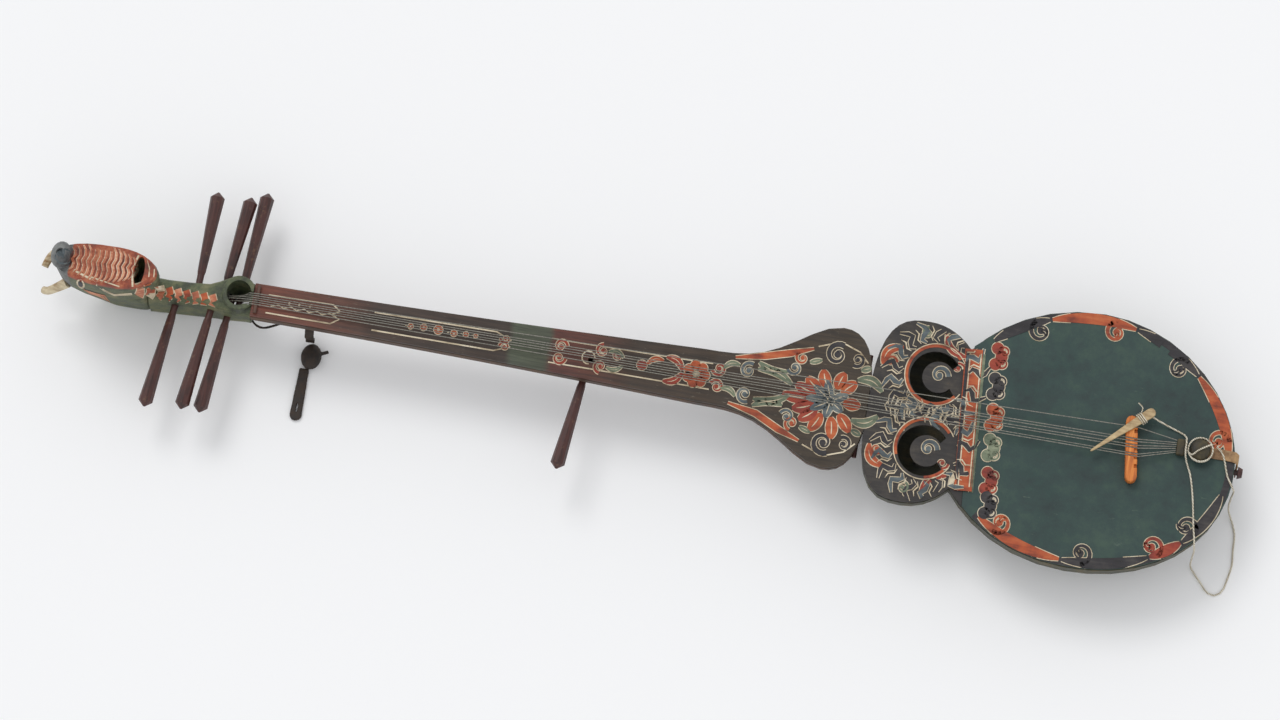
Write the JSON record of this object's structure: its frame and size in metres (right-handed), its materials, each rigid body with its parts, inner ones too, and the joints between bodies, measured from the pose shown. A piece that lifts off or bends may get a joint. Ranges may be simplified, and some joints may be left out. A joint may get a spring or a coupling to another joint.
{
  "type": "dranyen",
  "caption": "Long-necked plucked lute with a waisted skin-topped body, a carved sea-monster head, turning pegs, strings, bridge, plectrum and straps.",
  "frame": {"origin": "on the flat of the bowl's back, under the middle of the round body", "axes": "+X along the strings toward the tail, +Y to the upper side of the picture, +Z out of the soundboard"},
  "size_m": [1.1097, 0.237, 0.1163],
  "materials": {
    "neck_wood": "painted and waxed wood",
    "green_paint": "painted wood, worn",
    "dark_paint": "painted wood, worn",
    "peg_wood": "dark stained wood",
    "painted_hide": "painted skin",
    "orange_paint": "painted band",
    "bridge_wood": "bare orange wood",
    "bone": "satin bone",
    "gut": "smooth string",
    "dark_leather": "worn leather",
    "pale_hide": "bare hide",
    "cream_cord": "twisted cotton",
    "horn": "satin horn"
  },
  "bodies": {
    "instrument": {"neck": "neck_wood", "fingerboard": "neck_wood", "body_bowl": "green_paint", "pegbox": "green_paint", "makara_head": "green_paint", "waist_plate": "dark_paint", "joint_dowel": "peg_wood", "tail_pin": "peg_wood", "skin_head": "painted_hide", "skin_band": "orange_paint", "nut": "bone", "plectrum": "bone", "string_1": "gut", "string_2": "gut", "string_3": "gut", "string_4": "gut", "string_5": "gut", "string_6": "gut", "drone_string": "gut", "thong_strap": "dark_leather", "thong_knot": "dark_leather", "thong_loop": "dark_leather", "thong_lace": "dark_leather", "tail_toggle": "dark_leather", "string_holder": "dark_leather", "tail_strap": "pale_hide", "toggle_cord": "cream_cord", "plectrum_lashing": "cream_cord", "plectrum_cord": "cream_cord", "horn_upper": "horn", "horn_lower": "horn"},
    "peg_upper_1_body": {"peg_upper_1": "peg_wood"},
    "peg_upper_2_body": {"peg_upper_2": "peg_wood"},
    "peg_upper_3_body": {"peg_upper_3": "peg_wood"},
    "peg_lower_1_body": {"peg_lower_1": "peg_wood"},
    "peg_lower_2_body": {"peg_lower_2": "peg_wood"},
    "peg_lower_3_body": {"peg_lower_3": "peg_wood"},
    "drone_peg_body": {"drone_peg": "peg_wood"},
    "bridge_body": {"bridge": "bridge_wood"}
  },
  "joints": [
    {"name": "peg_upper_1_turn", "type": "hinge", "parent": "instrument", "child": "peg_upper_1_body", "pos_m": [-0.8139, 0, 0.046], "axis": [0.0192, 0.9998, 0], "continuous": true},
    {"name": "peg_upper_2_turn", "type": "hinge", "parent": "instrument", "child": "peg_upper_2_body", "pos_m": [-0.7915, 0, 0.041], "axis": [0.0941, 0.9956, 0], "continuous": true},
    {"name": "peg_upper_3_turn", "type": "hinge", "parent": "instrument", "child": "peg_upper_3_body", "pos_m": [-0.7756, 0, 0.0365], "axis": [0.068, 0.9977, 0], "continuous": true},
    {"name": "peg_lower_1_turn", "type": "hinge", "parent": "instrument", "child": "peg_lower_1_body", "pos_m": [-0.8303, 0, 0.044], "axis": [-0.1028, -0.9947, 0], "continuous": true},
    {"name": "peg_lower_2_turn", "type": "hinge", "parent": "instrument", "child": "peg_lower_2_body", "pos_m": [-0.7969, 0, 0.05], "axis": [-0.1011, -0.9949, 0], "continuous": true},
    {"name": "peg_lower_3_turn", "type": "hinge", "parent": "instrument", "child": "peg_lower_3_body", "pos_m": [-0.7817, 0, 0.044], "axis": [-0.0924, -0.9957, 0], "continuous": true},
    {"name": "drone_peg_turn", "type": "hinge", "parent": "instrument", "child": "drone_peg_body", "pos_m": [-0.4527, 0, 0.051], "axis": [-0.1149, -0.9934, 0], "continuous": true},
    {"name": "bridge_slide", "type": "slide", "parent": "instrument", "child": "bridge_body", "axis": [1, 0, 0], "range_m": [-0.008, 0]}
  ]
}
